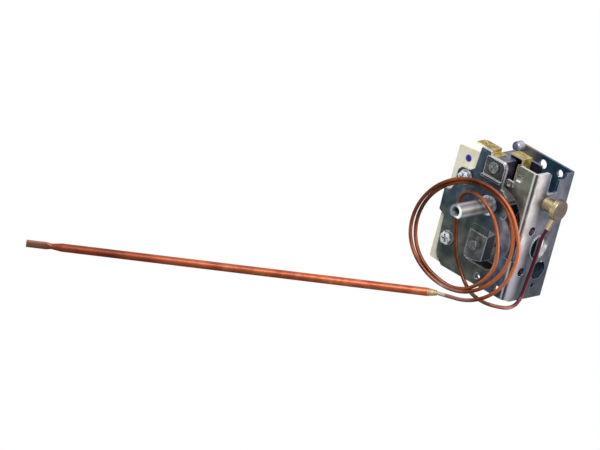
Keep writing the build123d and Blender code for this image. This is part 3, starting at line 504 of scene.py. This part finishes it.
def bent_steel(name, dark, light):
    """Small brackets and levers: plated sheet without the frame's large painted reflections, with
    painted light on top faces, painted shade on right faces and painted highlights at edges.
    """
    finish = Finish(name).set(Metallic=0.45)
    cloud = finish.noise(scale=260, detail=4)
    fine = finish.noise(scale=900, detail=3)
    color = finish.clouded(cloud, dark, light, 0.36, 0.64)
    # Painted light on top faces, painted shade on right faces, painted highlights at edges.
    top_face = finish.turned("Z", 0.5, 0.9)
    shaded_right_face = finish.turned("X", 0.6, 0.9)
    color = finish.mix(top_face, color, (170, 168, 172))
    color = finish.mix(shaded_right_face, color, (70, 78, 88))
    color = finish.mix(finish.edge(0.4), color, (236, 234, 240))
    return finish.dress(color, fine, rough=(0.34, 0.50))


def bright_steel(name, dark, light, metal=0.6, rough=(0.28, 0.44)):
    """Plated small parts, with painted highlights at their edges."""
    finish = Finish(name).set(Metallic=metal)
    cloud = finish.noise(scale=700, detail=4)
    fine = finish.noise(scale=1500, detail=2, stretch=(1, 0.2, 1))
    color = finish.clouded(cloud, dark, light, 0.38, 0.60)
    # Painted highlights at the edges.
    color = finish.mix(finish.edge(0.18), color, (226, 226, 230))
    return finish.dress(color, fine, rough, rounding=0.12)


def turned_steel():
    """The shaft: grey bands of painted reflection along its length, an end face with a painted
    highlight on one side, and painted light in its bore.
    """
    finish = Finish("turned_steel").set(Metallic=0.25, Roughness=0.42)
    bands = [
        (0.00, (140, 138, 142)),
        (0.12, (176, 178, 174)),
        (0.24, (92, 94, 92)),
        (0.38, (112, 112, 108)),
        (0.50, (178, 174, 172)),
        (0.62, (140, 138, 140)),
        (0.76, (108, 102, 112)),
        (0.90, (176, 170, 172)),
        (1.00, (104, 96, 96)),
    ]
    # Painted reflection in grey bands, by the way the surface faces.
    color = finish.ramp(finish.facing(SHAFT_UP), bands)
    to_right = finish.along("X", -0.6, 1.2)
    end_face = finish.turned("Y", -0.6, -0.9)
    # Painted highlight on the right of the end face.
    end_highlight = finish.mix(to_right, (120, 132, 142), (250, 250, 250))
    color = finish.mix(end_face, color, end_highlight)
    # Painted light, grey-green, in the bore.
    color = finish.mix(finish.spot((0, 0), BORE_R), color, (150, 170, 172))
    fine = finish.noise(scale=1100, detail=3, stretch=(1, 0.15, 1))
    return finish.dress(color, fine, strength=0.25)


def rounded_metal(name, stops, direction, rim_highlight, face=None):
    """Round metal with painted light and shade from dark to light across it, and its own painted edge
    highlight and end face.
    """
    finish = Finish(name).set(Metallic=0.4)
    cloud = finish.noise(scale=420, detail=4)
    # Painted light and shade across the metal.
    color = finish.ramp(finish.facing(direction), stops)
    if face:
        flat = finish.clouded(cloud, [c * FACE_SHADOW for c in face], face)
        end_face = finish.turned("X", 0.90, 0.98)
        color = finish.mix(end_face, color, flat)
    # Painted highlight at the edges.
    color = finish.mix(finish.edge(0.2), color, rim_highlight)
    return finish.dress(color, cloud, rough=(0.31, 0.44))


def stud_steel():
    """The rear stud: blue-grey painted shade on the left and painted light on the right."""
    stops = [
        (0.20, (44, 52, 74)),
        (0.52, (84, 88, 106)),
        (0.80, (176, 172, 186)),
        (1.00, (150, 146, 158)),
    ]
    return rounded_metal("stud_steel", stops, ACROSS, rim_highlight=(150, 150, 164))


def element_brass():
    """The power element: dull brass with painted light towards the front and painted shade at its
    sides, and a brown end face.
    """
    stops = [
        (0.50, (66, 56, 46)),
        (0.74, (112, 98, 78)),
        (0.90, (206, 190, 150)),
        (1.00, (168, 150, 112)),
    ]
    return rounded_metal("element_brass", stops, NECK_LIGHT, rim_highlight=(226, 222, 216), face=(100, 86, 76))


def brass(name, dark, light, rough=(0.29, 0.46)):
    """Plain brass, with painted highlights where it faces the front and at its edges."""
    finish = Finish(name).set(Metallic=0.5)
    cloud = finish.noise(scale=300, detail=4)
    fine = finish.noise(scale=1300, detail=2)
    color = finish.clouded(cloud, dark, light, 0.36, 0.64)
    # Painted highlights on front faces and edges.
    front_face = finish.turned("Y", -0.6, -0.9)
    color = finish.mix(front_face, color, (236, 226, 196))
    color = finish.mix(finish.edge(0.22), color, (236, 222, 188))
    return finish.dress(color, fine, rough, rounding=0.12)


def copper_base(finish, cloud, dark, middle, light):
    return finish.ramp(cloud, [(0.34, dark), (0.50, middle), (0.66, light)])


def drawn_copper(finish, color):
    """The fine grain of drawn copper, which has no sharp edges."""
    fine = finish.noise(scale=1800, detail=2)
    return finish.dress(color, fine, rough=(0.34, 0.48), depth=0.02, strength=0.08, rounding=0)


def copper_tube():
    """The capillary: a painted highlight on the coil's right, painted shade in dark red beside the
    web, and pale under the solder.
    """
    finish = Finish("copper_tube").set(Metallic=0.4)
    cloud = finish.noise(scale=90, detail=5)
    color = copper_base(finish, cloud, (78, 36, 22), (120, 58, 32), (158, 84, 50))
    # Painted highlight on the coil's right.
    coil_right_highlight = finish.both(finish.along("X", 8, 17), finish.along("Z", -33, -26))
    color = finish.mix(coil_right_highlight, color, (184, 100, 56))
    lead_low = finish.both(finish.along("Z", -34.0, -35.2), finish.along("Y", -9, -7))
    color = finish.mix(lead_low, color, (138, 88, 72))
    # Painted shade, dark red, on the lead beside the web.
    shaded_beside_web = finish.along("Y", 1.5, 4.5)
    color = finish.mix(shaded_beside_web, color, (90, 32, 44))
    tail_low = finish.both(finish.along("Z", -31, -35), finish.along("Y", -13.5, -14.5))
    color = finish.mix(tail_low, color, (150, 104, 92))
    soldered = finish.within(SOLDERED_END, SOLDERED_LONG, SOLDER_FADE)
    color = finish.mix(soldered, color, (200, 190, 172))
    return drawn_copper(finish, color)


def bulb_copper():
    """The bulb: browner towards its far end, and dull on its flattened tip."""
    finish = Finish("bulb_copper").set(Metallic=0.4)
    cloud = finish.noise(scale=90, detail=5)
    color = copper_base(finish, cloud, (128, 56, 30), (172, 84, 48), (204, 118, 76))
    brown = finish.clouded(cloud, (108, 40, 20), (156, 68, 34), 0.34, 0.66)
    to_far_end = finish.along("X", -30, -100)
    tip = finish.along("X", -121, -125)
    color = finish.mix(to_far_end, color, brown)
    color = finish.mix(tip, color, (140, 92, 76))
    return drawn_copper(finish, color)


def white_ceramic():
    finish = Finish("white_ceramic")
    cloud = finish.noise(scale=500, detail=4)
    color = finish.clouded(cloud, (210, 208, 198), (230, 228, 222), 0.32, 0.68)
    return finish.dress(color, cloud, rough=(0.49, 0.63))


def moulding():
    """Near-black moulding, with a lighter grey-blue on its top face."""
    finish = Finish("black_phenolic").set(Roughness=0.38)
    cloud = finish.noise(scale=500, detail=4)
    color = finish.clouded(cloud, (14, 12, 34), (34, 32, 48), 0.32, 0.68)
    grey_top_tone = finish.clouded(cloud, (56, 58, 80), (104, 106, 124), 0.32, 0.68)
    # Faces that turn up get a lighter grey-blue.
    top_face = finish.turned("Z", 0.5, 0.9)
    color = finish.mix(top_face, color, grey_top_tone)
    return finish.dress(color, cloud)


def card():
    """Cream sheet with a small blue inspection dot."""
    finish = Finish("cream_card").set(Roughness=0.6)
    cloud = finish.noise(scale=250, detail=4)
    color = finish.clouded(cloud, (222, 214, 188), (240, 234, 214), 0.32, 0.68)
    color = finish.mix(finish.spot(DOT_AT, DOT_R), color, (14, 6, 150))
    return finish.dress(color, cloud, depth=0.02)


def paint_nodes(sheet):
    """Each material with the CAD nodes that take it."""
    clip = bent_steel("clip_steel", (24, 36, 42), (64, 62, 58))
    bracket = bent_steel("bracket_steel", (66, 68, 72), (112, 110, 112))
    bright = bright_steel("bright_steel", (138, 142, 148), (222, 222, 226))
    dull = bright_steel("dull_steel", (84, 86, 88), (118, 118, 116), metal=0.45, rough=(0.36, 0.52))
    wire = bright_steel("spring_wire", (90, 90, 92), (120, 120, 122), rough=(0.34, 0.50))
    silver = bright_steel("contact_silver", (170, 168, 160), (220, 218, 212), rough=(0.19, 0.35))
    terminal = brass("terminal_brass", (122, 102, 40), (184, 162, 92))
    bronze = brass("blade_bronze", (160, 116, 84), (206, 160, 116))
    solder = brass("solder", (150, 118, 80), (206, 178, 132), rough=(0.33, 0.50))
    finishes = [
        (sheet, ["frame"]),
        (clip, ["switch_clip"]),
        (bracket, ["calibration_bracket", "main_lever", "range_lever"]),
        (turned_steel(), ["shaft"]),
        (bright, ["shaft_bushing", "plate_screws", "plate_nuts", "thrust_washer", "e_clip"]),
        (bright, ["cam", "range_pin", "main_pin", "blade_pin", "plunger"]),
        (dull, ["clip_screw", "bracket_screw", "bracket_post"]),
        (stud_steel(), ["rear_stud"]),
        (wire, ["range_spring"]),
        (terminal, ["line_terminal", "load_terminal", "calibration_screw"]),
        (element_brass(), ["element_neck", "element_nut", "element_cup", "capillary_ferrule"]),
        (silver, ["fixed_contact", "moving_contact"]),
        (bronze, ["snap_blade"]),
        (moulding(), ["switch_base"]),
        (white_ceramic(), ["switch_button"]),
        (card(), ["insulator_sheet"]),
        (bulb_copper(), ["bulb"]),
        (solder, ["bulb_neck"]),
    ]
    for material, names in finishes:
        for name in names:
            nodes[name].data.materials.clear()
            nodes[name].data.materials.append(material)


def make_shade_gap_strip(material):
    """A sheet that fills the shadowed gap down to the bracket's top edge, behind the wall's face by a
    hair, so that the backdrop does not show through where there is only shade.
    """
    xs, ys, zs = zip(*SHADE_GAP_STRIP)
    corners = [(x * MM, y * MM, z * MM) for x in xs for y in ys for z in zs]
    mesh = bpy.data.meshes.new("shade_gap_strip")
    mesh.from_pydata(corners, [], BOX_FACES)
    mesh.materials.append(material)
    strip = bpy.data.objects.new("shade_gap_strip", mesh)
    bpy.context.scene.collection.objects.link(strip)
    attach(strip, "housing")


# Capillary: one smooth curve from the ferrule to the bulb's neck
def coil_radius(degrees):
    """Radius at an angle, worked out from the two rows of the table around it."""
    rows = zip(COIL_RADII, COIL_RADII[1:])
    (start, first), (end, last) = next(pair for pair in rows if degrees >= pair[1][0])
    return first + (last - first) * (degrees - start) / (end - start)


def coil_points():
    """The coil's turns. The smooth curve takes three quarters of a point's place and the rest from
    its neighbours, so it runs inside the points, and they lie further out to allow for that."""
    points = []
    start = COIL_RADII[0][0]
    end = COIL_RADII[-1][0]
    shrink = MIDDLE_SHARE + (1 - MIDDLE_SHARE) * math.cos(math.radians(COIL_STEP))
    for degrees in range(start, end, COIL_STEP):
        share = (degrees - start) / (end - start)
        angle = math.radians(degrees)
        reach = coil_radius(degrees) / shrink
        spot = COIL_CENTRE + COIL_AXIS * (COIL_RISE * share)
        spot = spot + (COIL_SIDE * math.cos(angle) + COIL_TOP * math.sin(angle)) * reach
        points.append(tuple(spot))
    return points


def make_capillary(material):
    points = LEAD_POINTS + coil_points() + TAIL_POINTS
    data = bpy.data.curves.new("capillary", "CURVE")
    data.dimensions = "3D"
    spline = data.splines.new("NURBS")
    spline.points.add(len(points) - 1)
    for point, spot in zip(spline.points, points):
        point.co = (spot[0] * MM, spot[1] * MM, spot[2] * MM, 1)
    spline.order_u = 3
    spline.use_endpoint_u = True
    spline.resolution_u = CURVE_STEPS
    data.bevel_depth = CAPILLARY_R
    data.bevel_resolution = ROUND_STEPS
    data.use_fill_caps = True
    data.materials.append(material)
    tube = bpy.data.objects.new("capillary", data)
    bpy.context.scene.collection.objects.link(tube)
    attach(tube, "housing")
    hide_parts("capillary_lead", "capillary_coil", "capillary_tail")


make_camera()
make_world()
for light in LIGHTS:
    make_light(*light)
sheet = sheet_steel()
paint_nodes(sheet)
# A sheet in the shadowed gap above the bracket, standing in for shade.
make_shade_gap_strip(sheet)
make_capillary(copper_tube())
bpy.context.scene.view_settings.view_transform = "Standard"
